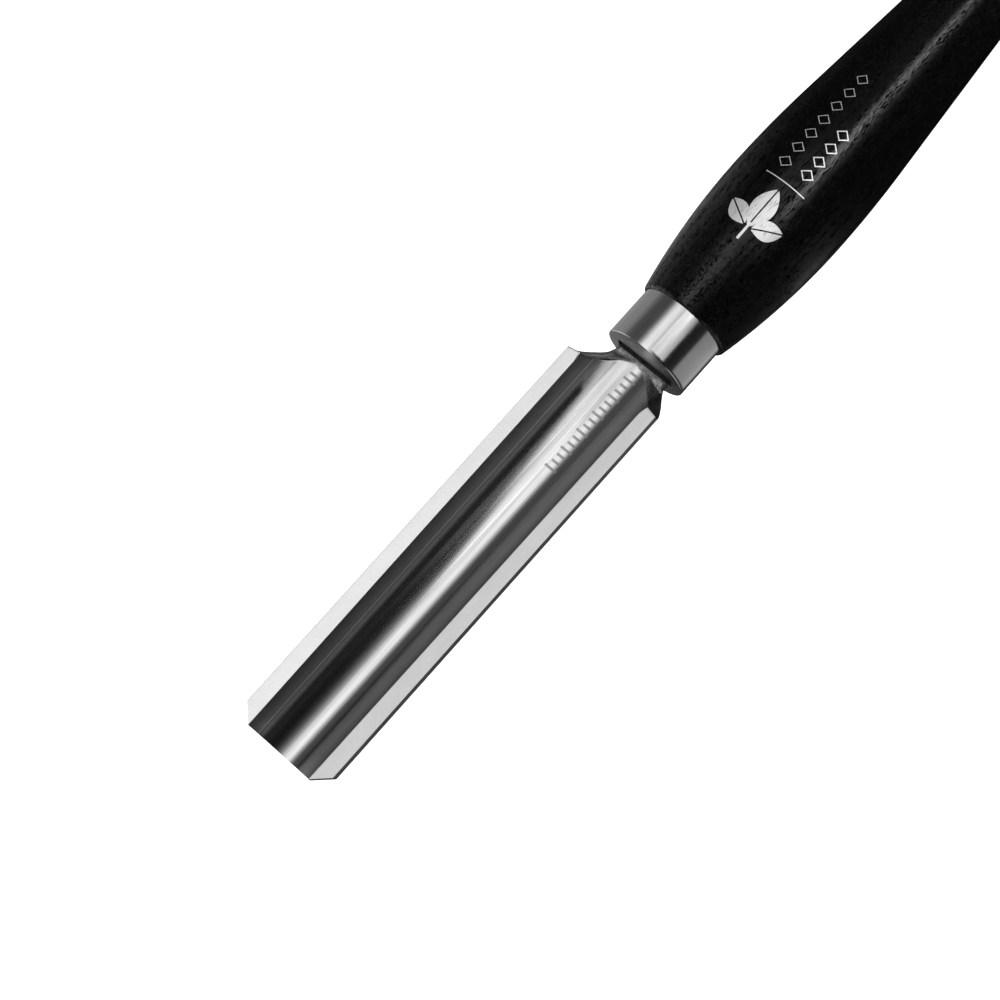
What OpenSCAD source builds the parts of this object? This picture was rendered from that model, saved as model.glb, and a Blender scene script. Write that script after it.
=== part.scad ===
// Roughing gouge: a one-piece U-section steel blade with a tang, set in a turned ash handle
// behind a slotted steel ferrule. +X runs from the cutting edge to the butt, +Z is up with the
// flute open, and the origin is on the handle's axis at the ferrule's front face.

/* [Blade] */
// Length from the ferrule's front face to the cutting edge
blade_l = 150.2; // [100:0.1:220]
// Outside width of the U
blade_w = 32; // [28:0.5:36]
// Height of the two wing tops above the handle's axis
wing_z = 15.65; // [14.5:0.05:18]
// Depth of the blade's underside below the handle's axis
underside = 3.2; // [2.8:0.1:3.4]
// Thickness of the side walls at the cutting edge
wall_tip = 4.84; // [3:0.01:6]
// Thickness of the side walls where the wings end
wall_heel = 4.16; // [3:0.01:6]
// Thickness of the floor under the flute at the cutting edge
floor_tip = 6.1; // [5.9:0.1:6.6]
// Angle between the ground bevel and the blade's length
bevel_angle = 45; // [40:1:60]
// Thickness of steel left on the cutting edge
edge_land = 0.15; // [0.1:0.05:0.5]

/* [Shoulders, neck and tang] */
// Distance from the ferrule to the end of the wings
wing_gap = 13.6; // [12:0.1:16]
// Radius of the scallop cut out of each shoulder
scallop_r = 26; // [24:0.5:30]
// Distance of the scallops' centres behind the ferrule's front face
scallop_x = 6; // [4:0.5:7]
// Width left between the scallops where they are closest
scallop_w = 16.4; // [16:0.1:17]
// Width of the flat neck before the scallops narrow it
neck_w = 18; // [17.5:0.1:18.5]
// Thickness of the flat neck and tang
neck_t = 5.35; // [5.2:0.05:5.5]
// Rounding of the neck's long edges
neck_round = 1.2; // [0.5:0.1:2]
// Length of the tang inside the handle
tang_l = 92; // [60:1:110]
// Width of the tang where it leaves the neck
tang_w = 10.5; // [8:0.5:10.5]
// Width of the tang at its tip
tang_tip_w = 7; // [4:0.5:8]

/* [Ferrule] */
// Outside diameter of the ferrule
ferrule_d = 27.2; // [25.2:0.2:27.2]
// Length of the ferrule
ferrule_l = 16.3; // [12:0.1:18]
// Thickness of the ferrule's side wall
ferrule_wall = 1.7; // [1:0.1:2.5]
// Thickness of the ferrule's front face
ferrule_face = 2.5; // [1.5:0.1:4]
// Width of the slot in the ferrule's front face
slot_w = 19.4; // [18:0.1:20.5]
// Height of the slot in the ferrule's front face
slot_h = 6.4; // [6:0.1:8]
// Chamfer on the ferrule's front rim
rim_chamfer = 0.5; // [0.2:0.1:0.8]

/* [Handle] */
// Length of the handle behind the ferrule
handle_l = 305; // [285:1:400]
// Radius of the handle at its front swell
swell_r = 19.7; // [19:0.1:21]
// Distance from the ferrule's front face to the front swell
swell_x = 63.4; // [58:0.1:66]
// Radius of the waist
waist_r = 12.6; // [11.5:0.1:13.5]
// Distance from the ferrule's front face to the waist
waist_x = 184; // [175:1:195]
// Radius of the swell near the butt
butt_r = 17.5; // [16:0.1:19]
// Rounding of the handle's front edge
edge_round = 1.4; // [0.8:0.1:1.5]
// Diameter of the hole drilled for the tang
tang_bore_d = 13; // [12.5:0.1:15]

/* [Hidden] */
$fn = 96;

// Room that a cut leaves past the face it opens
clear = 1;

// Blade, derived
outer_r = blade_w / 2;
tip_x = -blade_l;
heel_x = -wing_gap;
flute_r_tip = outer_r - wall_tip;
flute_r_heel = outer_r - wall_heel;
flute_growth = (flute_r_heel - flute_r_tip) / (heel_x - tip_x);
outer_axis_z = outer_r - underside;
flute_axis_z = floor_tip - underside + flute_r_tip;
neck_top = neck_t - underside;
neck_z = neck_top - neck_t / 2;
// The run-out's round cut is centred level with the wing tops and dips just below the neck's top
runout_dip = 0.05;
runout_r = wing_z - neck_top + runout_dip;
// The trough stops just short of the ferrule, inside the neck
trough_end = -0.6;
// Length of the pointed nose in which the neck runs out under the blade
nose_l = 24;
// Length of blade that the bevel's envelope covers
bevel_reach = 14;

// Ferrule and handle, derived
ferrule_r = ferrule_d / 2;
tenon_r = ferrule_r - ferrule_wall;
butt_end = ferrule_l + handle_l;
tang_end = ferrule_face + tang_l;
bore_r = tang_bore_d / 2;
bore_end = tang_end + 3;
drill_half_angle = 59;

// Radii of the arcs along the handle's outline, from the ferrule to the butt
swell_front_arc = 220;
swell_rear_arc = 350;
waist_front_arc = 500;
waist_rear_arc = 420;
butt_front_arc = 150;
butt_rear_arc = 45;
dome_r = 12;

// The dome touches the inside of the butt's last arc, which places the butt's swell
dome_x = butt_end - dome_r;
butt_x = dome_x - sqrt(pow(butt_rear_arc - dome_r, 2) - pow(butt_rear_arc - butt_r, 2));
dome_angle = acos((butt_rear_arc - butt_r) / (butt_rear_arc - dome_r));

// The rounded front edge touches the handle's front end and the inside of the swell's front arc
edge_x = ferrule_l + edge_round;
front_angle = asin((edge_x - swell_x) / (swell_front_arc - edge_round));
edge_r = swell_r - swell_front_arc + (swell_front_arc - edge_round) * cos(front_angle);

// Angle of the tangent line between a crest arc and a hollow arc, a length apart with a drop
function run_angle(length, drop, crest_arc, hollow_arc) =
    let (rise = crest_arc + hollow_arc - drop)
    atan2(length, rise) - acos((crest_arc + hollow_arc) / norm([length, rise]));

waist_front_angle = run_angle(waist_x - swell_x, swell_r - waist_r, swell_rear_arc, waist_front_arc);
waist_rear_angle = run_angle(butt_x - waist_x, butt_r - waist_r, butt_front_arc, waist_rear_arc);

// Points [radius, x] along an arc in equal steps, by angle from straight out, leaving out the first
function arc(centre, r, from, to, steps) =
    [for (i = [1 : steps]) let (a = from + (to - from) * i / steps)
        [centre[0] + r * cos(a), centre[1] + r * sin(a)]];

// The handle's outline from its front edge to the end of the butt, as arcs tangent to each other
function handle_outline() = concat(
    arc([edge_r, edge_x], edge_round, -90, front_angle, 6),
    arc([swell_r - swell_front_arc, swell_x], swell_front_arc, front_angle, 0, 16),
    arc([swell_r - swell_rear_arc, swell_x], swell_rear_arc, 0, waist_front_angle, 10),
    arc([waist_r + waist_front_arc, waist_x], -waist_front_arc, waist_front_angle, 0, 14),
    arc([waist_r + waist_rear_arc, waist_x], -waist_rear_arc, 0, -waist_rear_angle, 10),
    arc([butt_r - butt_front_arc, butt_x], butt_front_arc, -waist_rear_angle, 0, 8),
    arc([butt_r - butt_rear_arc, butt_x], butt_rear_arc, 0, dome_angle, 14),
    arc([0, dome_x], dome_r, dome_angle, 90, 8)
);

// Turns a shape built along +Z to lie along +X
module along_x() {
    rotate([0, 90, 0]) children();
}

// A solid U lying along X: a round underside, tapered or not, with straight sides above its axis
module solid_u(x_from, x_to, r_from, r_to, axis_z, top_z) {
    translate([x_from, 0, axis_z])
        along_x() cylinder(r1 = r_from, r2 = r_to, h = x_to - x_from);
    translate([0, 0, axis_z])
        linear_extrude(top_z - axis_z)
            polygon([[x_from, -r_from], [x_to, -r_to], [x_to, r_to], [x_from, r_from]]);
}

// The outside of the blade before the flute is cut, level across the wing tops
module trough_outside() {
    difference() {
        solid_u(tip_x, trough_end, outer_r, outer_r, outer_axis_z, wing_z);
        translate([tip_x - clear, -blade_w, wing_z])
            cube([blade_l + 2 * clear, 2 * blade_w, blade_w]);
    }
}

// Everything behind the ground bevel, which follows the flute's own curve round the tip
module bevel_envelope() {
    land_r = flute_r_tip + edge_land;
    reach_r = land_r + bevel_reach * tan(bevel_angle);
    solid_u(tip_x, tip_x + bevel_reach, land_r, reach_r, flute_axis_z, wing_z + clear);
    translate([tip_x + bevel_reach - clear, -blade_w, -blade_w])
        cube([blade_l, 2 * blade_w, 2 * blade_w]);
}

// The flute, slightly wider towards the shoulders
module flute_cut() {
    start_x = tip_x - clear;
    solid_u(start_x, clear, flute_r_tip - clear * flute_growth,
        flute_r_tip + (clear - tip_x) * flute_growth, flute_axis_z, wing_z + clear);
}

// The round cut across the shoulders, down which the wing tops run out to the neck
module runout_cut() {
    translate([0, 0, wing_z])
        rotate([90, 0, 0]) cylinder(r = runout_r, h = 2 * blade_w, center = true);
}

// The two scallops that narrow the shoulders to the neck
module scallop_cuts() {
    for (side = [-1, 1])
        translate([scallop_x, side * (scallop_w / 2 + scallop_r), -blade_w])
            cylinder(r = scallop_r, h = 2 * blade_w);
}

// A flat bar along X with rounded long edges, centred in the neck's thickness
module rounded_bar(x_from, x_to, width) {
    translate([x_from, 0, neck_z])
        along_x() linear_extrude(x_to - x_from) union() {
            square([neck_t - 2 * neck_round, width], center = true);
            square([neck_t, width - 2 * neck_round], center = true);
            for (up = [-1, 1], side = [-1, 1])
                translate([up * (neck_t / 2 - neck_round), side * (width / 2 - neck_round)])
                    circle(r = neck_round);
        }
}

// Neck: runs out to a point under the blade, and ends on the handle's tenon
module neck() {
    nose_r = (nose_l * nose_l + neck_w * neck_w / 4) / neck_w;
    intersection() {
        rounded_bar(-nose_l, ferrule_face, neck_w);
        translate([0, 0, -neck_t])
            linear_extrude(2 * neck_t) union() {
                intersection_for(side = [-1, 1])
                    translate([0, side * (nose_r - neck_w / 2)]) circle(r = nose_r);
                translate([0, -neck_w]) square([neck_w, 2 * neck_w]);
            }
    }
}

// Tang: a flat taper that the handle's bore holds in epoxy
module tang() {
    translate([0, 0, neck_z - neck_t / 2])
        linear_extrude(neck_t)
            polygon([
                [ferrule_face - clear, -tang_w / 2],
                [tang_end, -tang_tip_w / 2],
                [tang_end, tang_tip_w / 2],
                [ferrule_face - clear, tang_w / 2]
            ]);
}

// The hollow part of the blade, from the bevel to the run-out
module trough() {
    difference() {
        intersection() {
            trough_outside();
            bevel_envelope();
        }
        flute_cut();
        runout_cut();
    }
}

module blade() {
    color("silver") union() {
        difference() {
            union() {
                trough();
                neck();
            }
            scallop_cuts();
        }
        tang();
    }
}

// Ferrule: a turned cup over the handle's tenon, with a slot for the neck in its face
module ferrule() {
    color("gainsboro") difference() {
        along_x() rotate_extrude() polygon([
            [0, 0],
            [ferrule_r - rim_chamfer, 0],
            [ferrule_r, rim_chamfer],
            [ferrule_r, ferrule_l],
            [tenon_r, ferrule_l],
            [tenon_r, ferrule_face],
            [0, ferrule_face]
        ]);
        translate([-clear, -slot_w / 2, neck_z - slot_h / 2])
            cube([ferrule_face + 2 * clear, slot_w, slot_h]);
    }
}

// Handle: turned in one piece with the tenon, and drilled for the tang
module handle() {
    color("#1c1c1c") along_x() rotate_extrude() polygon(concat(
        [
            [0, bore_end + bore_r / tan(drill_half_angle)],
            [bore_r, bore_end],
            [bore_r, ferrule_face],
            [tenon_r, ferrule_face],
            [tenon_r, ferrule_l],
            [edge_r, ferrule_l]
        ],
        handle_outline()
    ));
}

// Cured epoxy: fills the bore round the tang, level with the end of the tenon
module tang_epoxy() {
    color("wheat") difference() {
        along_x() rotate_extrude() polygon([
            [0, ferrule_face],
            [bore_r, ferrule_face],
            [bore_r, bore_end],
            [0, bore_end + bore_r / tan(drill_half_angle)]
        ]);
        tang();
    }
}

blade();
ferrule();
handle();
tang_epoxy();
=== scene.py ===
import math

import bmesh
import bpy
from mathutils import Euler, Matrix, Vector


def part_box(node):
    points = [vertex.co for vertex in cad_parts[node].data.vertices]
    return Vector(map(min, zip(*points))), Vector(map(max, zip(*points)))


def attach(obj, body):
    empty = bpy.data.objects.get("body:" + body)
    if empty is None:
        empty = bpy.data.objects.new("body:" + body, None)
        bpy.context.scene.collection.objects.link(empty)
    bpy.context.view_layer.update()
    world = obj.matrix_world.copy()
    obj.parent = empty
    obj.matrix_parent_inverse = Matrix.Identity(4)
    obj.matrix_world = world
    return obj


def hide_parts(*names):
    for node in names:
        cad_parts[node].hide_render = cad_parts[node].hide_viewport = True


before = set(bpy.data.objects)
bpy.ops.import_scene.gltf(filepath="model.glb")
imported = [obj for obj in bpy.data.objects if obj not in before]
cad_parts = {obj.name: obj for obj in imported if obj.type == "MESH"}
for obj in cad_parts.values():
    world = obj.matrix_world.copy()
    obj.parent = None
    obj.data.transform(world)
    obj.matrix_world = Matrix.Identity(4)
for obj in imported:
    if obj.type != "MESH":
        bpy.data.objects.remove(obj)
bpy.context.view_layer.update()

# Lengths below are in millimetres, as in the CAD; MM turns them into Blender's metres
MM = 0.001


def box_mm(node):
    """A CAD node's lowest and highest corners, in millimetres."""
    low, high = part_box(node)
    return low / MM, high / MM


# ---------------------------------------------------------------- dimensions

BLADE_LOW, BLADE_HIGH = box_mm("blade")
TIP_X = BLADE_LOW.x
UNDER_Z = BLADE_LOW.z
WING_Z = BLADE_HIGH.z
OUTER_R = BLADE_HIGH.y
OUTER_AXIS_Z = UNDER_Z + OUTER_R
TANG_END_X = BLADE_HIGH.x
# The flute widens a little from the tip to the heel
FLUTE_R_TIP = 11.16
FLUTE_GROWTH = 0.00498
FLUTE_AXIS_Z = 14.06
NECK_TOP_Z = 2.15
NECK_EDGE = 1.2
SCOOP_R = 13.55
# In plan, the shoulders run in from the wings to the neck along a slightly hollow line
SHOULDER_X = -12.6
NECK_START_X = -2.3
SHOULDER_HOLLOW = 0.2
# The top of the tang steps down just before it enters the slot
STEP_X = -0.9
STEP_Z = 1.0
# The neck runs out under the blade in a round nose
NOSE_L = 24.0
NOSE_R = 36.5
NECK_HALF_W = 9.0
NECK_END_X = 2.5
TANG_HALF_W = 5.25
TANG_TIP_HALF_W = 3.5

FERRULE_HIGH = box_mm("ferrule")[1]
FERRULE_R = FERRULE_HIGH.y
FERRULE_L = FERRULE_HIGH.x
FERRULE_FACE = 2.5
FERRULE_WALL = 1.7
FERRULE_EDGE = 0.3
TENON_R = FERRULE_R - FERRULE_WALL
SLOT_HALF_W = 9.7
SLOT_HALF_H = 3.2
SLOT_Z = -0.525
SLOT_CORNER = 0.6
SLOT_BREAK = 0.2

BUTT_END_X = box_mm("handle")[1].x
SWELL_R = 19.64
SWELL_X = 63.4
WAIST_R = 12.6
WAIST_X = 184.0
BUTT_R = 17.5
EDGE_ROUND = 1.4
DOME_R = 12.0
BORE_R = 6.5
BORE_END_X = 97.5
DRILL_HALF_ANGLE = math.radians(59)
# Radii of the arcs of the handle's outline, on each side of its swells and its waist
SWELL_FRONT_ARC = 220.0
SWELL_REAR_ARC = 350.0
WAIST_FRONT_ARC = 500.0
WAIST_REAR_ARC = 420.0
BUTT_FRONT_ARC = 150.0
BUTT_REAR_ARC = 45.0


# ---------------------------------------------------------------- mesh helpers

WELD_GAP = 0.002
SHARP_ANGLE = math.radians(32)


def spread(start, end, steps):
    """Evenly spaced numbers from start to end, both included."""
    return [start + (end - start) * i / steps for i in range(steps + 1)]


def line(start, end, steps):
    """Evenly spaced points on a straight line, both ends included."""
    return list(zip(*(spread(a, b, steps) for a, b in zip(start, end))))


def bend(start, corner, end, steps):
    """The points between start and end on a curve that rounds a corner."""
    points = []
    for i in range(1, steps):
        t = i / steps
        a, b, c = (1 - t) ** 2, 2 * t * (1 - t), t ** 2
        points.append(tuple(a * s + b * k + c * e for s, k, e in zip(start, corner, end)))
    return points


def ease(value, start, end):
    """0 before start, 1 after end, and a smooth rise between them."""
    t = min(1.0, max(0.0, (value - start) / (end - start)))
    return t * t * (3 - 2 * t)


def hump(value, rise, fall):
    """Rises smoothly from 0 to 1 over one range of values and falls back over a later one."""
    return ease(value, *rise) * (1 - ease(value, *fall))


def finish_mesh(mesh, piece_name, materials):
    """Welds, turns the faces outwards, and makes a smooth-shaded object with sharp edges kept sharp."""
    bmesh.ops.remove_doubles(mesh, verts=mesh.verts, dist=WELD_GAP * MM)
    bmesh.ops.recalc_face_normals(mesh, faces=mesh.faces)
    for face in mesh.faces:
        face.smooth = True
    for edge in mesh.edges:
        if len(edge.link_faces) == 2:
            edge.smooth = edge.calc_face_angle(0) < SHARP_ANGLE
    return add_object(mesh, piece_name, materials)


def add_object(mesh, name, materials):
    """Makes a scene object from a bmesh, which it frees."""
    data = bpy.data.meshes.new(name)
    mesh.to_mesh(data)
    mesh.free()
    for material in materials:
        data.materials.append(material)
    piece = bpy.data.objects.new(name, data)
    bpy.context.scene.collection.objects.link(piece)
    return piece


def add_ring(mesh, points):
    """One ring or row of vertices from points in millimetres."""
    return [mesh.verts.new(Vector(p) * MM) for p in points]


def bridge(mesh, first, second, closed=True, material=0):
    """Quads between two rows of vertices of the same length, with one material or a list of them."""
    count = len(first)
    for i in range(count if closed else count - 1):
        j = (i + 1) % count
        face = mesh.faces.new((first[i], first[j], second[j], second[i]))
        face.material_index = material[i] if isinstance(material, list) else material


# ---------------------------------------------------------------- node helpers

# Noise seldom leaves this range
NOISE_LOW, NOISE_HIGH = 0.3, 0.7


def new_material(name):
    """An empty node material with a Principled shader."""
    material = bpy.data.materials.new(name)
    material.use_nodes = True
    return material, material.node_tree, material.node_tree.nodes["Principled BSDF"]


def put(tree, kind, inputs=None, **settings):
    """Adds a node, sets its properties and its input values or links."""
    node = tree.nodes.new(kind)
    for key, value in settings.items():
        setattr(node, key, value)
    for key, value in (inputs or {}).items():
        if isinstance(value, bpy.types.NodeSocket):
            tree.links.new(value, node.inputs[key])
        else:
            node.inputs[key].default_value = value
    return node


def connect(tree, shader, sockets):
    """Links sockets to a shader's inputs by name."""
    for name, socket in sockets.items():
        tree.links.new(socket, shader.inputs[name])


def stretched(tree, scale):
    """Object coordinates in millimetres, divided by a grain size along each axis."""
    place = put(tree, "ShaderNodeTexCoord")
    return put(tree, "ShaderNodeVectorMath",
               {0: place.outputs["Object"], 1: [1 / (MM * s) for s in scale]},
               operation="MULTIPLY").outputs[0]


def position(tree):
    """The object coordinates X, Y and Z in millimetres, as sockets by name."""
    return put(tree, "ShaderNodeSeparateXYZ", {0: stretched(tree, (1, 1, 1))}).outputs


def noise(tree, scale, detail=4.0, roughness=0.6):
    """Noise with the given grain size in millimetres along X, Y and Z."""
    return put(tree, "ShaderNodeTexNoise", {
        "Vector": stretched(tree, scale), "Scale": 1.0, "Detail": detail, "Roughness": roughness}).outputs[0]


def remap(tree, value, low, high, out_low=0.0, out_high=1.0, smooth=False):
    """A value mapped from one range to another, clamped."""
    return put(tree, "ShaderNodeMapRange", {
        "Value": value, "From Min": low, "From Max": high, "To Min": out_low, "To Max": out_high},
        interpolation_type="SMOOTHSTEP" if smooth else "LINEAR").outputs[0]


def from_noise(tree, value, out_low, out_high):
    """Noise mapped to a range."""
    return remap(tree, value, NOISE_LOW, NOISE_HIGH, out_low, out_high)


def math_node(tree, operation, a, b=0.0):
    """One arithmetic node."""
    return put(tree, "ShaderNodeMath", {0: a, 1: b}, operation=operation).outputs[0]


def plateau(tree, value, edges):
    """1 between the middle two of four edges, and smoothly down to 0 at the outer two."""
    rise = remap(tree, value, edges[0], edges[1], smooth=True)
    fall = remap(tree, value, edges[2], edges[3], 1.0, 0.0, smooth=True)
    return math_node(tree, "MULTIPLY", rise, fall)


def mix_colour(tree, factor, a, b):
    """A mix of two colours, each an RGB tuple or a socket."""
    values = [c if isinstance(c, bpy.types.NodeSocket) else (*c, 1.0) for c in (a, b)]
    return put(tree, "ShaderNodeMix", {0: factor, 6: values[0], 7: values[1]}, data_type="RGBA").outputs[2]


def bump(tree, height, distance, normal=None):
    """A bump whose full height is a distance in millimetres, on top of another bump if one is given."""
    inputs = {"Height": height, "Distance": distance * MM, "Strength": 1.0}
    if normal is not None:
        inputs["Normal"] = normal
    return put(tree, "ShaderNodeBump", inputs).outputs[0]


def grey(value):
    """A grey as an RGB tuple."""
    return (value, value, value)


# ---------------------------------------------------------------- materials

# Painted shade: the flute's walls are darkened between these heights, to this share of their brightness
SHADE_FROM_Z = 4.2
SHADE_TO_Z = 8.5
SHADE_TONE = 0.55
# A painted highlight runs along the flute at this many degrees from its lowest line, towards +Y
HIGHLIGHT_LINE_ANGLE = 57.9
HIGHLIGHT_LINE_EDGES = (-1.1, -0.4, 0.4, 1.1)
HIGHLIGHT_LINE_GAIN = 1.1
# Painted shade darkens the steel to this share of its tone
PAINTED_SHADE_TONE = 0.35
# The polish looks hazier where it is seen aslant, between these Layer Weight values
HAZE_FROM = 0.14
HAZE_TO = 0.26
CLOUD_GRAIN = (14, 6, 6)
CLOUD_SPREAD = 0.02
# Spacing of the ash's growth rings, and how far they wander from straight
RING_GAP = 3.4
RING_WANDER = 14.0
# Pores open where their noise passes this level, and more of them in the early wood
PORE_LEVEL = 0.62
EARLY_WOOD_PORES = 0.11


def flute_painted_light(tree):
    """Painted shade that darkens the flute's walls upwards, with a painted highlight along a line on the
    left one.
    """
    place = position(tree)
    painted_wall_shade = remap(tree, place["Z"], SHADE_FROM_Z, SHADE_TO_Z, 1.0, SHADE_TONE, smooth=True)
    depth = math_node(tree, "SUBTRACT", FLUTE_AXIS_Z, place["Z"])
    angle = math_node(tree, "ARCTAN2", place["Y"], depth)
    highlight_line = plateau(tree, angle, [math.radians(HIGHLIGHT_LINE_ANGLE + a) for a in HIGHLIGHT_LINE_EDGES])
    gain = math_node(tree, "ADD", math_node(tree, "MULTIPLY", highlight_line, HIGHLIGHT_LINE_GAIN), 1.0)
    return math_node(tree, "MULTIPLY", painted_wall_shade, gain)


def painted_shade_by_y(lit_y, shaded_y):
    """Painted shade that darkens the steel from one place on Y to another."""
    def painted_light(tree):
        return remap(tree, position(tree)["Y"], shaded_y, lit_y, PAINTED_SHADE_TONE, 1.0, smooth=True)
    return painted_light


def steel(name, tone, rough, grain, grain_height, tone_spread=0.06, rough_spread=0.06, haze=0.0, painted_light=None):
    """Bright steel with scratches that run along the longest axis of the grain.

    Haze is the further roughness that polished steel shows when it is seen aslant. Painted light is a
    function that gives a factor for the tone from place to place: painted shade, and on the flute a painted
    highlight too.
    """
    material, tree, shader = new_material(name)
    scratches = noise(tree, grain, detail=6, roughness=0.7)
    clouds = noise(tree, CLOUD_GRAIN, detail=3)
    shade = math_node(tree, "ADD", from_noise(tree, scratches, -tone_spread, tone_spread),
                      from_noise(tree, clouds, tone - CLOUD_SPREAD, tone + CLOUD_SPREAD))
    # Painted light: shade and highlights painted into the tone
    if painted_light:
        shade = math_node(tree, "MULTIPLY", shade, painted_light(tree))
    finish = from_noise(tree, scratches, rough - rough_spread / 2, rough + rough_spread / 2)
    if haze > 0:
        facing = put(tree, "ShaderNodeLayerWeight").outputs["Facing"]
        slant = remap(tree, facing, HAZE_FROM, HAZE_TO, smooth=True)
        finish = math_node(tree, "ADD", finish, math_node(tree, "MULTIPLY", slant, haze))
    shader.inputs["Metallic"].default_value = 1.0
    connect(tree, shader, {
        "Base Color": put(tree, "ShaderNodeCombineColor", {0: shade, 1: shade, 2: shade}).outputs[0],
        "Roughness": finish,
        "Normal": bump(tree, scratches, grain_height)})
    return material


def growth_rings(tree):
    """1 in each growth ring's early wood, which has the open pores, and 0 in its late wood."""
    wander = math_node(tree, "MULTIPLY", noise(tree, (120, 9, 9), detail=3), RING_WANDER)
    depth = math_node(tree, "ADD", position(tree)["Y"], wander)
    wave = math_node(tree, "SINE", math_node(tree, "MULTIPLY", depth, 2 * math.pi / RING_GAP))
    return remap(tree, wave, -0.4, 0.8, smooth=True)


def ebonised_ash():
    """Ash stained black under a satin lacquer, its open pores in short dark dashes bunched in rings."""
    material, tree, shader = new_material("ebonised_ash")
    fewer = math_node(tree, "MULTIPLY", growth_rings(tree), EARLY_WOOD_PORES)
    pore_edge = math_node(tree, "SUBTRACT", PORE_LEVEL, fewer)
    pores = noise(tree, (2.4, 0.21, 0.21), detail=2, roughness=0.5)
    pits = remap(tree, math_node(tree, "SUBTRACT", pores, pore_edge), -0.02, 0.05, smooth=True)
    fibres = noise(tree, (6, 0.16, 0.16), detail=5, roughness=0.75)
    speckle = noise(tree, (0.6, 0.2, 0.2), detail=2, roughness=0.6)
    surface = math_node(tree, "SUBTRACT", math_node(tree, "MULTIPLY", fibres, 0.14), pits)
    skin = bump(tree, speckle, 0.016, normal=bump(tree, surface, 0.09))
    wood = mix_colour(tree, remap(tree, fibres, 0.35, 0.7), grey(0.0012), grey(0.0026))
    # The lacquer bridges the strands but not the pores, which stay matt
    strands = noise(tree, (2.2, 0.24, 0.24), detail=3, roughness=0.7)
    lacquer = remap(tree, strands, 0.38, 0.62, 0.08, 0.44)
    connect(tree, shader, {
        "Base Color": mix_colour(tree, pits, wood, grey(0.0005)),
        "Roughness": from_noise(tree, speckle, 0.17, 0.25),
        "Specular IOR Level": math_node(tree, "MULTIPLY", lacquer, math_node(tree, "SUBTRACT", 1.0, pits)),
        "Normal": skin})
    return material


def silver_print():
    """Silver foil pressed on the lacquer, worn along the grain."""
    material, tree, shader = new_material("silver_print")
    wear = noise(tree, (3.2, 0.25, 0.25), detail=3, roughness=0.6)
    shader.inputs["Metallic"].default_value = 0.55
    connect(tree, shader, {
        "Base Color": mix_colour(tree, remap(tree, wear, 0.60, 0.68), grey(0.82), grey(0.05)),
        "Roughness": from_noise(tree, wear, 0.35, 0.5),
        "Normal": bump(tree, wear, 0.02)})
    return material


def cured_epoxy():
    """Amber epoxy with a faint cloudiness."""
    material, tree, shader = new_material("cured_epoxy")
    clouds = noise(tree, (2, 2, 2), detail=4)
    connect(tree, shader, {
        "Base Color": mix_colour(tree, clouds, (0.55, 0.36, 0.12), (0.72, 0.55, 0.25)),
        "Roughness": from_noise(tree, clouds, 0.15, 0.3),
        "Normal": bump(tree, clouds, 0.05)})
    return material


# Name, tone, roughness, grain size along X, Y and Z, and height of the grain
# The flute's tone carries painted shade up its walls and a painted highlight line
FLUTE_STEEL = steel("flute_steel", 0.41, 0.145, (40, 0.35, 0.35), 0.0013,
                    rough_spread=0.03, haze=0.28, painted_light=flute_painted_light)
# The wings are two copies of one ground steel: the right one is painted darker, as painted shade
LEFT_WING_STEEL = steel("left_wing_steel", 0.62, 0.36, (0.22, 0.7, 0.7), 0.016, tone_spread=0.07)
RIGHT_WING_SHADED_STEEL = steel("right_wing_shaded_steel", 0.50, 0.40, (0.22, 0.7, 0.7), 0.016, tone_spread=0.05)
OUTER_STEEL = steel("outer_steel", 0.50, 0.38, (30, 0.3, 0.3), 0.004)
BEVEL_STEEL = steel("bevel_steel", 0.60, 0.28, (0.12, 6, 6), 0.008)
# The heel's right shoulder is darkened by painted shade from Y -8.6 to -10
HEEL_STEEL = steel("heel_steel", 0.24, 0.36, (1.1, 0.8, 0.8), 0.12,
                   tone_spread=0.16, painted_light=painted_shade_by_y(-8.6, -10.0))
# Near-black steel behind the tang's step: painted shade for the dark gap at the slot
TANG_SHADE_STEEL = steel("tang_shade_steel", 0.05, 0.60, (0.6, 0.6, 0.6), 0.08, tone_spread=0.03)
FERRULE_STEEL = steel("ferrule_steel", 0.42, 0.17, (9, 0.9, 0.9), 0.003, tone_spread=0.05)
# The ferrule's face is darkened towards -Y by painted shade, from Y 1 to -8.5
FACE_STEEL = steel("ferrule_face_steel", 0.62, 0.46, (0.9, 0.7, 0.7), 0.02,
                   tone_spread=0.10, painted_light=painted_shade_by_y(1.0, -8.5))
ETCH = steel("etched_steel", 0.31, 0.40, (0.3, 0.3, 0.3), 0.01)
ASH = ebonised_ash()
PRINT = silver_print()
EPOXY = cured_epoxy()


# ---------------------------------------------------------------- blade

# Segments along each stretch of half a cross-section
SIDE_STEPS = 6
ROUND_STEPS = 26
FLUTE_STEPS = SIDE_STEPS + ROUND_STEPS
FLAT_STEPS = 10
CORNER_STEPS = 4
DROP_STEPS = 4
FLOOR_STEPS = 8
# Segments round the scoop, and where the level wings get shorter ones
SCOOP_STEPS = 44
FINE_X = -20.0

# The bevel's slant dies away over this length of the blade
FADE_L = 15.0
# The bevel falls back by a little under its own height, so the cutting edge is a knife edge
BEVEL_SLOPE = (OUTER_R - FLUTE_R_TIP - 0.15) / (OUTER_R - FLUTE_R_TIP)
# The scoop's edge lies further back on the inside of the wings than on their outside
SCOOP_LAG = 0.9
SCOOP_LAG_W = 4.0
SCOOP_LAG_RISE = (-22, -13.5)
SCOOP_LAG_FALL = (-12, -4)
SCOOP_EDGE = 0.3
STEP_EDGE = 0.3
STEP_FILLET = 0.2
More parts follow.
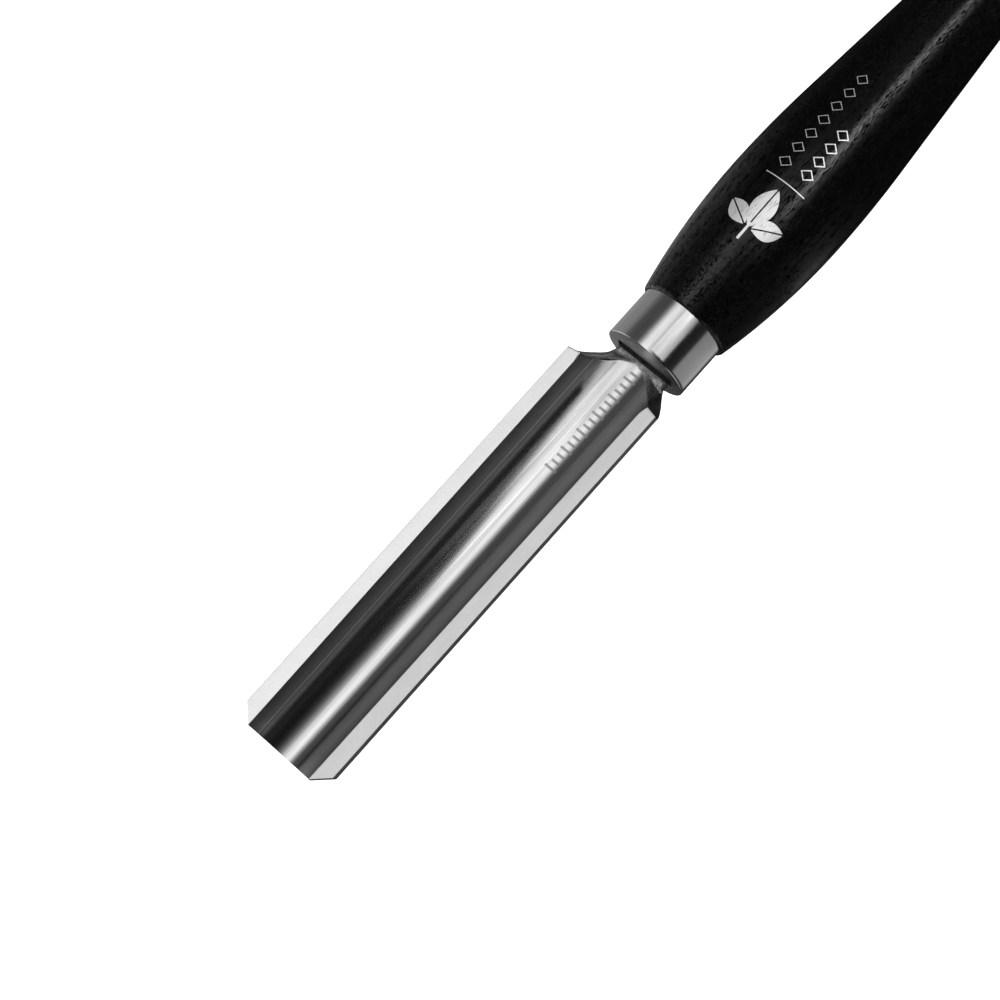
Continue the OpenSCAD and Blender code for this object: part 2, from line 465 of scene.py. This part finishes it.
# Beside the flute, the shoulders stand proud of the scoop's run-out, more so on the left
LEFT_RIDGE = 1.6
RIGHT_RIDGE = 0.5
RIDGE_RISE = (-13.5, -9)
RIDGE_FALL = (-5.5, -1.6)
# On the outside they fall away, and leave a side of this height
SIDE_H = 0.3
SIDE_RISE = (-13.3, -9.5)
SIDE_FALL = (-4.5, -2.0)
# Roundings grow towards the neck from a mere break, in steps of (growth, from x, to x)
EDGE_BREAK = 0.08
LIP_GROWTH = ((0.7, -17, -13), (0.9, -13, -9))
SHOULDER_EDGE = 0.5
EDGE_GROWTH = ((SHOULDER_EDGE, -14, -10), (NECK_EDGE - EDGE_BREAK - SHOULDER_EDGE, -6, -1.5))
# The heel's finish starts here, and takes over the flute where the shoulders are lower than this
HEEL_X = -13.8
FLUTE_END_Z = 2.6

# Indices into the blade's list of materials
FLUTE, LEFT_WING, OUTER, BEVEL, HEEL, TANG_SHADE, RIGHT_WING_SHADED = range(7)
BLADE_STEELS = [FLUTE_STEEL, LEFT_WING_STEEL, OUTER_STEEL, BEVEL_STEEL, HEEL_STEEL, TANG_SHADE_STEEL,
                RIGHT_WING_SHADED_STEEL]


def flute_radius(x):
    """Radius of the flute at a distance along it."""
    return FLUTE_R_TIP + FLUTE_GROWTH * (x - TIP_X)


def flute_point(radius, length):
    """A point on half the flute, by length along it from its lowest point."""
    quarter = radius * math.pi / 2
    if length > quarter:
        return radius, FLUTE_AXIS_Z + length - quarter
    angle = length / radius
    return radius * math.sin(angle), FLUTE_AXIS_Z - radius * math.cos(angle)


def flute_reach(radius, ridge):
    """Length of half the flute, from its lowest point up to a height."""
    drop = FLUTE_AXIS_Z - ridge
    if drop <= 0:
        return radius * math.pi / 2 - drop
    return radius * math.acos(min(1.0, drop / radius))


def round_z(y):
    """Height of the blade's round underside."""
    return OUTER_AXIS_Z - math.sqrt(max(0.0, OUTER_R ** 2 - y ** 2))


def half_width(x, top):
    """Half the blade's width where its top face is at a height, inside the shoulders and the outside."""
    if x > NECK_END_X:
        along = (x - NECK_END_X) / (TANG_END_X - NECK_END_X)
        return TANG_HALF_W + (TANG_TIP_HALF_W - TANG_HALF_W) * along
    along = min(1.0, max(0.0, (x - SHOULDER_X) / (NECK_START_X - SHOULDER_X)))
    width = OUTER_R + (NECK_HALF_W - OUTER_R) * along - 4 * SHOULDER_HOLLOW * along * (1 - along)
    if top < OUTER_AXIS_Z:
        width = min(width, math.sqrt(OUTER_R ** 2 - (OUTER_AXIS_Z - top) ** 2))
    return width


def nose_half_width(x):
    """Half the width of the neck and of the nose in which it runs out under the blade."""
    if x < -NOSE_L:
        return 0.0
    if x > 0:
        return NECK_HALF_W
    return math.sqrt(NOSE_R ** 2 - x ** 2) - (NOSE_R - NECK_HALF_W)


def rounding(x, growth):
    """Size of an edge's rounding at a distance along the blade."""
    return EDGE_BREAK + sum(size * ease(x, start, end) for size, start, end in growth)


def finishes_at(x, ridge):
    """The finishes of the flute, the lip beside it, the top face and the side."""
    if x <= HEEL_X:
        return FLUTE, FLUTE, LEFT_WING, OUTER
    # Behind the step, the tang's top is painted near-black as shade
    ground = TANG_SHADE if x >= STEP_X else HEEL
    return ground if ridge < FLUTE_END_Z else FLUTE, ground, ground, ground


def half_underside(width, nose):
    """The lower part of half a cross-section: round as far as the nose, then down its side and under it."""
    nose_top = round_z(nose)
    under = min(NECK_EDGE, 0.9 * (nose_top - UNDER_Z), 0.4 * nose)
    angles = spread(*(math.asin(min(1.0, y / OUTER_R)) for y in (width, nose)), ROUND_STEPS)
    corner = bend((nose, UNDER_Z + under), (nose, UNDER_Z), (nose - under, UNDER_Z), DROP_STEPS)
    points = [(OUTER_R * math.sin(a), OUTER_AXIS_Z - OUTER_R * math.cos(a), OUTER) for a in angles[1:]]
    points += [(nose, z, HEEL) for z in spread(nose_top, UNDER_Z + under, DROP_STEPS)[1:]]
    points += [(*p, HEEL) for p in corner]
    points += [(y, UNDER_Z, HEEL) for y in spread(nose - under, 0, FLOOR_STEPS)]
    return points


def half_section(x, top, width, raised):
    """Half a cross-section, from the middle of its top face round to the middle of its underside.

    Returns (y, z, finish) points; the finish belongs to the face that follows the point.
    """
    radius = flute_radius(x)
    low = round_z(width)
    ridge = top + raised * hump(x, RIDGE_RISE, RIDGE_FALL)
    outer_top = top - max(0.0, (top - low - SIDE_H) * hump(x, SIDE_RISE, SIDE_FALL))
    reach = flute_reach(radius, ridge)
    lip_y = flute_point(radius, reach)[0]
    # Each rounding has to leave some room in the stretches beside it
    lip = min(rounding(x, LIP_GROWTH), 0.45 * reach, 0.6 * (width - lip_y))
    edge = min(rounding(x, EDGE_GROWTH), 0.45 * (outer_top - low), 0.3 * width)
    slope = (outer_top - ridge) / max(0.1, width - lip_y)
    flat_start = (lip_y + lip, ridge + slope * lip)
    flat_end = (width - edge, outer_top - slope * edge)
    side_start = (width, outer_top - edge)
    hollow, lip_finish, ground, side = finishes_at(x, ridge)

    flute = [flute_point(radius, length) for length in spread(0, reach - lip, FLUTE_STEPS)]
    points = [(y, min(z, ridge), hollow) for y, z in flute]
    points += [(*p, lip_finish) for p in bend(points[-1][:2], (lip_y, ridge), flat_start, CORNER_STEPS)]
    points += [(*p, ground) for p in line(flat_start, flat_end, FLAT_STEPS)]
    points += [(*p, ground) for p in bend(flat_end, (width, outer_top), side_start, CORNER_STEPS)]
    points += [(*p, side) for p in line(side_start, (width, low), SIDE_STEPS)]
    return points + half_underside(width, min(nose_half_width(x), width))


def full_ring(left, right):
    """A closed ring of (y, z, finish) from two halves, each from the top's middle to the underside's."""
    ring = list(left[:-1])
    ring.append((left[-1][0], left[-1][1], right[-2][2]))
    for i in range(len(right) - 2, 0, -1):
        y, z, _ = right[i]
        finish = right[i - 1][2]
        # The right half's wing takes the darker copy of the wing steel: painted shade
        ring.append((-y, z, RIGHT_WING_SHADED if finish == LEFT_WING else finish))
    return ring


def blade_ring(x, top):
    """The closed ring at one station: the shoulder on the left, +Y, stands higher than the right one."""
    width = half_width(x, top)
    return full_ring(*(half_section(x, top, width, raised) for raised in (LEFT_RIDGE, RIGHT_RIDGE)))


def blade_stations():
    """(x, height of the top face) along the blade, from the tip to the end of the neck."""
    xs = [TIP_X]
    # Ends of the stretches of level wing, and the number of segments along each
    for end, steps in ((TIP_X + FADE_L, 20), (FINE_X, 76), (-SCOOP_R - SCOOP_EDGE, 12)):
        xs += spread(xs[-1], end, steps)[1:]
    stations = [(x, WING_Z) for x in xs]
    scoop = [(-SCOOP_R * math.cos(a), WING_Z - SCOOP_R * math.sin(a))
             for a in spread(SCOOP_EDGE / SCOOP_R, math.pi / 2, SCOOP_STEPS)]
    stations += bend(stations[-1], (-SCOOP_R, WING_Z), scoop[0], CORNER_STEPS)
    stations += [(x, z) for x, z in scoop if x < STEP_X - 2 * STEP_EDGE]
    crest = (STEP_X - STEP_EDGE, NECK_TOP_Z), (STEP_X, NECK_TOP_Z), (STEP_X, NECK_TOP_Z - STEP_EDGE)
    foot = (STEP_X, STEP_Z + STEP_FILLET), (STEP_X, STEP_Z), (STEP_X + STEP_FILLET, STEP_Z)
    for corner, steps in ((crest, 4), (foot, 3)):
        stations += [corner[0], *bend(*corner, steps), corner[2]]
    stations += [(x, STEP_Z) for x in spread(STEP_X + 0.5, NECK_END_X, 6)]
    return stations


def axis_distance(y, z):
    """Distance from the flute's axis, or from its upright middle plane above the axis."""
    return abs(y) if z > FLUTE_AXIS_Z else math.hypot(y, z - FLUTE_AXIS_Z)


def leaning_x(x, y, z):
    """Moves a point back: near the tip to the bevel's slant, and near the scoop to its leaning edge."""
    beyond = max(0.0, axis_distance(y, z) - flute_radius(x)) * BEVEL_SLOPE
    beyond *= max(0.0, 1 - (x - TIP_X) / FADE_L)
    inward = min(1.0, (OUTER_R - abs(y)) / SCOOP_LAG_W)
    return x + beyond + SCOOP_LAG * inward * hump(x, SCOOP_LAG_RISE, SCOOP_LAG_FALL)


def bevel_point(inner, outer, share):
    """A point on the bevel between one on the cutting edge and one on the bevel's far edge."""
    flat = inner.lerp(outer, share)
    start, end = (axis_distance(p.y, p.z) for p in (inner, outer))
    wanted = start + (end - start) * share
    if flat.z > FLUTE_AXIS_Z:
        return Vector((flat.x, math.copysign(wanted, flat.y), flat.z))
    arm = Vector((0, flat.y, flat.z - FLUTE_AXIS_Z)).normalized() * wanted
    return Vector((flat.x, arm.y, arm.z + FLUTE_AXIS_Z))


def add_bevel(mesh, tip):
    """Rows of faces from the cutting edge to the bevel's far edge, both of them part of the tip's ring.

    The rows start and end on the points across the wings' front ends.
    """
    rows = 2 * CORNER_STEPS + FLAT_STEPS
    corner = FLUTE_STEPS + rows
    bottom = corner + FLUTE_STEPS
    across = range(-FLUTE_STEPS, FLUTE_STEPS + 1)
    inner = [tip[i] for i in across]
    outer = [tip[bottom - i if i >= 0 else -bottom - i] for i in across]
    near_y, far_y = tip[FLUTE_STEPS].co.y, tip[corner].co.y
    grid = [inner]
    for i in range(FLUTE_STEPS + 1, corner):
        share = (tip[i].co.y - near_y) / (far_y - near_y)
        middle = [mesh.verts.new(bevel_point(a.co / MM, b.co / MM, share) * MM)
                  for a, b in zip(inner[1:-1], outer[1:-1])]
        grid.append([tip[-i], *middle, tip[i]])
    grid.append(outer)
    for first, second in zip(grid, grid[1:]):
        bridge(mesh, first, second, closed=False, material=BEVEL)


def add_tang(mesh, neck):
    """The tang behind the neck's last ring: a step down, then a taper with a flat end."""
    last = neck
    for x in (NECK_END_X + WELD_GAP / 2, TANG_END_X):
        ring = add_ring(mesh, [(x, y, z) for y, z, _ in blade_ring(x, STEP_Z)])
        bridge(mesh, last, ring, material=TANG_SHADE)
        last = ring
    mesh.faces.new(last).material_index = TANG_SHADE


def make_blade():
    """The whole tool: trough, shoulders, neck and tang, as one closed loft of rings."""
    mesh = bmesh.new()
    sections = [(x, blade_ring(x, top)) for x, top in blade_stations()]
    rings = [add_ring(mesh, [(leaning_x(x, y, z), y, z) for y, z, _ in section]) for x, section in sections]
    for first, second, (_, section) in zip(rings, rings[1:], sections):
        bridge(mesh, first, second, material=[finish for _, _, finish in section])
    add_bevel(mesh, rings[0])
    add_tang(mesh, rings[-1])
    return finish_mesh(mesh, "blade_forging", BLADE_STEELS)


blade = make_blade()
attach(blade, "root")
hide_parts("blade")


# Angles are from the flute's lowest line, with the right-hand side, -Y, negative
ETCH_START_X = -41.5
ETCH_BARS = 17
ETCH_PITCH = 2.25
ETCH_FILL = 0.35
ETCH_ANGLE = -2.5
ETCH_REACH = 7.0
ETCH_LONG_REACH = 10.0
ETCH_LONG_EVERY = 3
ETCH_LIFT = 0.012


def make_etch():
    """A row of short etched bars along the floor of the flute, every third one longer."""
    mesh = bmesh.new()
    for i in range(ETCH_BARS):
        x_from = ETCH_START_X + i * ETCH_PITCH
        reach = ETCH_REACH if i % ETCH_LONG_EVERY else ETCH_LONG_REACH
        angles = [math.radians(a) for a in spread(ETCH_ANGLE - reach, ETCH_ANGLE + reach, 6)]
        rows = []
        for x in spread(x_from, x_from + ETCH_PITCH * ETCH_FILL, 3):
            radius = flute_radius(x) - ETCH_LIFT
            rows.append(add_ring(mesh, [(x, radius * math.sin(a), FLUTE_AXIS_Z - radius * math.cos(a))
                                        for a in angles]))
        for first, second in zip(rows, rows[1:]):
            bridge(mesh, first, second, closed=False)
    return finish_mesh(mesh, "blade_etch", [ETCH])


blade_etch = make_etch()
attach(blade_etch, "root")


# ---------------------------------------------------------------- ferrule

FERRULE_SIDES = 192
FACE_STEPS = 8
RIM_STEPS = 4
# The break round the slot goes through this point: (depth, share of the way out)
SLOT_BREAK_POINT = (0.06, 0.3)
REAR_BREAK_L = 0.03
REAR_BREAK_H = 0.05

# Indices into the ferrule's list of materials
CUP, FACE = range(2)


def circle_points(radius, count):
    """Points (y, z) round a circle, starting at +Y."""
    angles = [2 * math.pi * i / count for i in range(count)]
    return [(radius * math.cos(a), radius * math.sin(a)) for a in angles]


def slot_outline(growth):
    """Points (y, z) round the slot, grown all round, at the angles of the ferrule's sides.

    Each lies where a ray at its angle meets the slot's rectangle, drawn in to the rounding at a corner.
    """
    half_w, half_h, corner = (size + growth for size in (SLOT_HALF_W, SLOT_HALF_H, SLOT_CORNER))
    straight_w, straight_h = half_w - corner, half_h - corner
    tiny = 1e-9
    points = []
    for dy, dz in circle_points(1.0, FERRULE_SIDES):
        scale = min(half_w / max(abs(dy), tiny), half_h / max(abs(dz), tiny))
        y, z = dy * scale, dz * scale
        if abs(y) > straight_w and abs(z) > straight_h:
            cy, cz = math.copysign(straight_w, y), math.copysign(straight_h, z)
            away = Vector((y - cy, z - cz)).normalized() * corner
            y, z = cy + away.x, cz + away.y
        points.append((y, z + SLOT_Z))
    return points


def between(first, second, share):
    """The outline a share of the way from one outline to another."""
    return [(ya + (yb - ya) * share, za + (zb - za) * share) for (ya, za), (yb, zb) in zip(first, second)]


def ferrule_profile():
    """(x, radius) outside the ferrule, from its front rim to its rear edge, and back inside it."""
    face_r = FERRULE_R - FERRULE_EDGE
    profile = [(FERRULE_EDGE * (1 - math.cos(a)), face_r + FERRULE_EDGE * math.sin(a))
               for a in spread(0, math.pi / 2, RIM_STEPS)[1:]]
    profile += [(x, FERRULE_R) for x in spread(1.0, FERRULE_L - 0.3, 16)]
    profile += [(FERRULE_L - REAR_BREAK_L, FERRULE_R), (FERRULE_L, FERRULE_R - REAR_BREAK_H)]
    profile += [(FERRULE_L, TENON_R), (FERRULE_FACE, TENON_R)]
    return profile


def make_ferrule():
    """A turned cup with a slotted face, its rims lightly rounded."""
    mesh = bmesh.new()
    slot, wide_slot = slot_outline(0.0), slot_outline(SLOT_BREAK)
    break_x, break_share = SLOT_BREAK_POINT
    rim = circle_points(FERRULE_R - FERRULE_EDGE, FERRULE_SIDES)
    rows = [(x, slot) for x in (FERRULE_FACE, 1.2, SLOT_BREAK)]
    rows.append((break_x, between(slot, wide_slot, break_share)))
    rows += [(0.0, between(wide_slot, rim, share)) for share in spread(0, 1, FACE_STEPS)]
    rows += [(x, circle_points(radius, FERRULE_SIDES)) for x, radius in ferrule_profile()]
    rings = [add_ring(mesh, [(x, y, z) for y, z in outline]) for x, outline in rows]
    for i, ring in enumerate(rings):
        j = (i + 1) % len(rings)
        on_face = rows[i][0] == 0.0 and rows[j][0] == 0.0
        bridge(mesh, ring, rings[j], material=FACE if on_face else CUP)
    return finish_mesh(mesh, "ferrule_cup", [FERRULE_STEEL, FACE_STEEL])


ferrule = make_ferrule()
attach(ferrule, "root")
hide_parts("ferrule")


# ---------------------------------------------------------------- handle

HANDLE_SIDES = 192
BORE_STEPS = 12
TENON_STEPS = 4
# The dome's last ring stops this short of its pole
POLE_ANGLE = 0.04


def arc(centre, radius, start, end, steps):
    """Points (radius, x) along an arc, by angle from straight out, leaving out the first."""
    return [(centre[0] + radius * math.cos(a), centre[1] + radius * math.sin(a))
            for a in spread(start, end, steps)[1:]]


def run_angle(length, fall, crest, hollow):
    """Angle of the tangent line between a crest arc and a hollow arc, a length apart with a fall."""
    rise = crest + hollow - fall
    return math.atan2(length, rise) - math.acos((crest + hollow) / math.hypot(length, rise))


def handle_outline():
    """The turned outline from the front edge to the butt, as arcs that touch."""
    dome_x = BUTT_END_X - DOME_R
    butt_x = dome_x - math.sqrt((BUTT_REAR_ARC - DOME_R) ** 2 - (BUTT_REAR_ARC - BUTT_R) ** 2)
    dome_angle = math.acos((BUTT_REAR_ARC - BUTT_R) / (BUTT_REAR_ARC - DOME_R))
    edge_x = FERRULE_L + EDGE_ROUND
    front = math.asin((edge_x - SWELL_X) / (SWELL_FRONT_ARC - EDGE_ROUND))
    edge_r = SWELL_R - SWELL_FRONT_ARC + (SWELL_FRONT_ARC - EDGE_ROUND) * math.cos(front)
    down = run_angle(WAIST_X - SWELL_X, SWELL_R - WAIST_R, SWELL_REAR_ARC, WAIST_FRONT_ARC)
    rise = run_angle(butt_x - WAIST_X, BUTT_R - WAIST_R, BUTT_FRONT_ARC, WAIST_REAR_ARC)
    points = [(edge_r, FERRULE_L)]
    points += arc((edge_r, edge_x), EDGE_ROUND, -math.pi / 2, front, 10)
    points += arc((SWELL_R - SWELL_FRONT_ARC, SWELL_X), SWELL_FRONT_ARC, front, 0, 28)
    points += arc((SWELL_R - SWELL_REAR_ARC, SWELL_X), SWELL_REAR_ARC, 0, down, 24)
    points += arc((WAIST_R + WAIST_FRONT_ARC, WAIST_X), -WAIST_FRONT_ARC, down, 0, 24)
    points += arc((WAIST_R + WAIST_REAR_ARC, WAIST_X), -WAIST_REAR_ARC, 0, -rise, 24)
    points += arc((BUTT_R - BUTT_FRONT_ARC, butt_x), BUTT_FRONT_ARC, -rise, 0, 18)
    points += arc((BUTT_R - BUTT_REAR_ARC, butt_x), BUTT_REAR_ARC, 0, dome_angle, 22)
    points += arc((0, dome_x), DOME_R, dome_angle, math.pi / 2 - POLE_ANGLE, 14)
    return points


OUTLINE = handle_outline()


def make_handle():
    """The turned handle with its tenon and drilled bore."""
    mesh = bmesh.new()
    inside = [(BORE_R, x) for x in spread(BORE_END_X, FERRULE_FACE, BORE_STEPS)]
    inside += [(r, FERRULE_FACE) for r in spread(BORE_R, TENON_R, TENON_STEPS)[1:]]
    inside += [(TENON_R, x) for x in spread(FERRULE_FACE, FERRULE_L, TENON_STEPS)[1:]]
    rings = [add_ring(mesh, [(x, y, z) for y, z in circle_points(r, HANDLE_SIDES)])
             for r, x in inside + OUTLINE]
    for first, second in zip(rings, rings[1:]):
        bridge(mesh, first, second)
    drill_tip_x = BORE_END_X + BORE_R / math.tan(DRILL_HALF_ANGLE)
    for ring, x in ((rings[0], drill_tip_x), (rings[-1], BUTT_END_X)):
        pole = mesh.verts.new(Vector((x, 0, 0)) * MM)
        for i in range(HANDLE_SIDES):
            mesh.faces.new((ring[i], ring[(i + 1) % HANDLE_SIDES], pole))
    return finish_mesh(mesh, "handle_turning", [ASH])


handle = make_handle()
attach(handle, "root")
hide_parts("handle")

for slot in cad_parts["tang_epoxy"].material_slots:
    slot.material = EPOXY


# ---------------------------------------------------------------- printed mark

PRINT_LIFT = 0.02
PRINT_STEPS = 16
# The sprig: a stem, then a leaf straight on and one to each side, each (length, half its width)
SPRIG_X = 40.0
STEM_L = 4.4
STEM_HALF_W = 0.4
STEM_OVERLAP = 1.5
MIDDLE_LEAF = (13.8, 3.7)
SIDE_LEAF = (9.6, 3.0)
SIDE_LEAF_ANGLE = 60
SIDE_LEAF_S = 1.2
LEAF_RIB = 0.22
LEAF_SPAN = (0.03, 0.97)
LEAF_STEPS = 24
LEAF_FULLNESS = 0.85
# The cross line: (from x, to x), and how far it reaches to each side
CROSS_LINE_X = (60.8, 61.1)
CROSS_LINE_REACH = 7.0
# Each row of lozenges: (first x, last x, gaps), distance from the top, (half length, half width, line)
LOZENGE_ROWS = (((66.2, 99.8, 6), 4.4, (1.9, 2.3, 0.28)),
                ((66.6, 82.4, 3), -3.2, (2.0, 2.3, 0.42)))
LOZENGE_STEPS = 5


def handle_radius(x):
    """Radius of the handle at a distance along it."""
    for (r0, x0), (r1, x1) in zip(OUTLINE, OUTLINE[1:]):
        if x0 <= x <= x1:
            return r0 + (r1 - r0) * (x - x0) / (x1 - x0)
    return SWELL_R


def on_handle(x, s):
    """A point of the print, from its distance along the handle and round it from its top."""
    radius = handle_radius(x) + PRINT_LIFT
    angle = s / SWELL_R
    return x, radius * math.sin(angle), radius * math.cos(angle)


def printed(mesh, left, right):
    """A strip of print between two lines of (x, distance round the handle from its top) points."""
    rows = [add_ring(mesh, [on_handle(x, s) for x, s in line(a, b, PRINT_STEPS)])
            for a, b in zip(left, right)]
    for first, second in zip(rows, rows[1:]):
        bridge(mesh, first, second, closed=False)


def stripe(mesh, x_from, x_to, half_w):
    """A plain printed bar across the handle's top line."""
    xs = spread(x_from, x_to, max(2, int(x_to - x_from)))
    printed(mesh, [(x, -half_w) for x in xs], [(x, half_w) for x in xs])


def leaf(mesh, s, angle, length, half_width):
    """A pointed leaf in two halves either side of a bare rib, growing from the stem's end at an angle."""
    along = math.cos(math.radians(angle)), math.sin(math.radians(angle))
    for side in (-1, 1):
        outer, inner = [], []
        for t in spread(*LEAF_SPAN, LEAF_STEPS):
            bulge = max(LEAF_RIB, half_width * math.sin(math.pi * t) ** LEAF_FULLNESS)
            for edge, offset in ((outer, bulge), (inner, LEAF_RIB)):
                edge.append((SPRIG_X + STEM_L + along[0] * length * t - side * along[1] * offset,
                             s + along[1] * length * t + side * along[0] * offset))
        printed(mesh, outer, inner)


def lozenge(mesh, x, s, half_l, half_w, line_w):
    """An open lozenge drawn with a line of a given width."""
    inside = 1 - line_w / min(half_l, half_w)
    corners = [(half_l, 0), (0, half_w), (-half_l, 0), (0, -half_w)]
    for start, end in zip(corners, corners[1:] + corners[:1]):
        edge = line(start, end, LOZENGE_STEPS)
        printed(mesh, [(x + a, s + b) for a, b in edge], [(x + a * inside, s + b * inside) for a, b in edge])


def make_print():
    """A plain sprig of three leaves, a cross line and two rows of open lozenges."""
    mesh = bmesh.new()
    stripe(mesh, SPRIG_X, SPRIG_X + STEM_L + STEM_OVERLAP, STEM_HALF_W)
    leaf(mesh, 0, 0, *MIDDLE_LEAF)
    for side in (-1, 1):
        leaf(mesh, SIDE_LEAF_S * side, SIDE_LEAF_ANGLE * side, *SIDE_LEAF)
    stripe(mesh, *CROSS_LINE_X, CROSS_LINE_REACH)
    for places, s, sizes in LOZENGE_ROWS:
        for x in spread(*places):
            lozenge(mesh, x, s, *sizes)
    return finish_mesh(mesh, "handle_print", [PRINT])


handle_print = make_print()
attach(handle_print, "root")


# ---------------------------------------------------------------- stage, light and camera

# The stage and its lights are measured in metres, and directions are (X, Y, Z) of length 1
FLOOR_HALF = 6.0
FLOOR_Z = -0.20
FLOOR_TONE = 0.9
FLOOR_ROUGHNESS = 0.9
FLOOR_GLOW = 1.05

PANEL_BRIGHTNESS = 2.1
# The panel's profile round the tool: (degrees from overhead towards +Y, brightness)
PANEL_LEVELS = [(-180, 0.05), (-100, 0.06), (-78, 0.05), (-44, 0.01), (-30, 0.02), (-19, 0.13), (-10, 0.40),
                (-3, 0.90), (4, 1.65), (12, 2.1), (20, 2.0), (27, 1.0), (33, 0.28), (39, 0.12),
                (66, 0.15), (88, 0.46), (140, 0.46), (164, 0.07)]
# Towards the handle the panel ends between these directions on X, in the dark that the handle reflects
PANEL_END_X = (0.27, 0.37)
PANEL_END_LEVEL = 0.05
# A white card low on the right, which the ferrule reflects
CARD_BRIGHTNESS = 0.95
CARD_ANGLES = (-162, -148, -80, -74)
CARD_X = (0.215, 0.235, 0.255, 0.28)
# Pale walls low on both sides, ahead of the tool and behind it
WALL_BRIGHTNESS = 0.85
WALL_ANGLES = (62, 78, 142, 156)
WALL_AHEAD_X = (-0.26, -0.18)
WALL_BEHIND_X = (0.62, 0.80)

LIGHT_Z = 0.70


def make_floor():
    """A plain pale floor below the tool, lit from within a little so that it stays even."""
    material, _, shader = new_material("pale_floor")
    shader.inputs["Base Color"].default_value = (*grey(FLOOR_TONE), 1)
    shader.inputs["Roughness"].default_value = FLOOR_ROUGHNESS
    shader.inputs["Emission Color"].default_value = (*grey(1), 1)
    shader.inputs["Emission Strength"].default_value = FLOOR_GLOW
    mesh = bmesh.new()
    corners = [(-1, -1), (1, -1), (1, 1), (-1, 1)]
    mesh.faces.new([mesh.verts.new((x * FLOOR_HALF, y * FLOOR_HALF, FLOOR_Z)) for x, y in corners])
    floor = add_object(mesh, "floor", [material])
    floor.visible_glossy = False


def panel_profile(tree, angle):
    """The panel's brightness by angle round the tool."""
    ramp = put(tree, "ShaderNodeValToRGB", {0: remap(tree, angle, -math.pi, math.pi)})
    stops = ramp.color_ramp.elements
    while len(stops) > 1:
        stops.remove(stops[-1])
    for i, (degrees, level) in enumerate(PANEL_LEVELS):
        stop = stops[0] if i == 0 else stops.new(1.0)
        stop.position = (degrees + 180) / 360
        stop.color = (*grey(level / PANEL_BRIGHTNESS), 1)
    return math_node(tree, "MULTIPLY", ramp.outputs[0], PANEL_BRIGHTNESS)


def make_world():
    """Soft studio light: a long overhead panel beside dark flags, a card on the right, and end walls."""
    world = bpy.data.worlds.new("studio")
    bpy.context.scene.world = world
    world.use_nodes = True
    tree = world.node_tree
    place = put(tree, "ShaderNodeSeparateXYZ", {0: put(tree, "ShaderNodeTexCoord").outputs["Generated"]})
    x = place.outputs["X"]
    angle = math_node(tree, "ARCTAN2", place.outputs["Y"], place.outputs["Z"])

    panel_end = remap(tree, x, *PANEL_END_X, 1.0, PANEL_END_LEVEL, smooth=True)
    panel = math_node(tree, "MULTIPLY", panel_profile(tree, angle), panel_end)
    card = math_node(tree, "MULTIPLY", plateau(tree, angle, [math.radians(a) for a in CARD_ANGLES]),
                     plateau(tree, x, CARD_X))
    low = plateau(tree, math_node(tree, "ABSOLUTE", angle), [math.radians(a) for a in WALL_ANGLES])
    ends = math_node(tree, "ADD", remap(tree, x, *WALL_AHEAD_X, 1.0, 0.0, smooth=True),
                     remap(tree, x, *WALL_BEHIND_X, smooth=True))
    walls = math_node(tree, "MULTIPLY", low, ends)
    light = math_node(tree, "ADD", panel, math_node(tree, "MULTIPLY", card, CARD_BRIGHTNESS))
    light = math_node(tree, "ADD", light, math_node(tree, "MULTIPLY", walls, WALL_BRIGHTNESS))
    # Beyond the floor, the studio's backdrop is as pale as the floor
    seen = put(tree, "ShaderNodeLightPath").outputs["Is Camera Ray"]
    tree.links.new(mix_colour(tree, seen, light, grey(1.0)), tree.nodes["Background"].inputs[0])


def make_softbox(name, centre, size, turn, brightness):
    """A flat soft light facing down, seen in reflections but not by the camera."""
    data = bpy.data.lights.new(name, "AREA")
    data.shape = "RECTANGLE"
    data.size, data.size_y = size
    data.energy = brightness * math.pi * size[0] * size[1]
    light = bpy.data.objects.new(name, data)
    bpy.context.scene.collection.objects.link(light)
    light.location = centre
    light.rotation_euler = Euler((0, 0, math.radians(turn)))
    light.visible_camera = False
    return light


def keep_to_blade(light):
    """Keeps a light's effect to the blade."""
    lit = bpy.data.collections.new(light.name + "_lit")
    lit.objects.link(blade)
    light.light_linking.receiver_collection = lit


def make_heel_reflector():
    """A panel low on the right whose light is kept to the blade: it whitens the end of the flute."""
    aim = Vector((-0.012, 0, 0.004))
    centre = Vector((0.225, -0.79, 0.615))
    light = make_softbox("heel_reflector", centre, (0.07, 0.85), 0, 1.7)
    light.rotation_euler = (centre - aim).to_track_quat("Z", "Y").to_euler()
    keep_to_blade(light)


def make_camera():
    """The main view: from above, slightly towards the tip and the right-hand side."""
    data = bpy.data.cameras.new("camera")
    data.sensor_width = 36
    data.lens = 80.15
    camera = bpy.data.objects.new("camera", data)
    bpy.context.scene.collection.objects.link(camera)
    camera.location = Vector((-146.19, -142.28, 602.41)) * MM
    camera.rotation_euler = Euler([math.radians(a) for a in (15.22, 4.8, -48.37)])
    bpy.context.scene.camera = camera


make_floor()
make_world()
keep_to_blade(make_softbox("heel_softbox", (0.10, -0.215, LIGHT_Z), (0.12, 0.46), 15, 1.65))
make_heel_reflector()
keep_to_blade(make_softbox("heel_glow", (0.11, -0.86, LIGHT_Z), (0.16, 0.50), 0, 0.12))
make_softbox("ferrule_softbox", (0.20, -0.325, LIGHT_Z), (0.08, 0.59), 0, 1.7)
make_softbox("handle_strip", (0.51, -0.245, LIGHT_Z), (0.50, 0.15), 0, 10.0)
make_camera()
bpy.context.scene.view_settings.view_transform = "Standard"
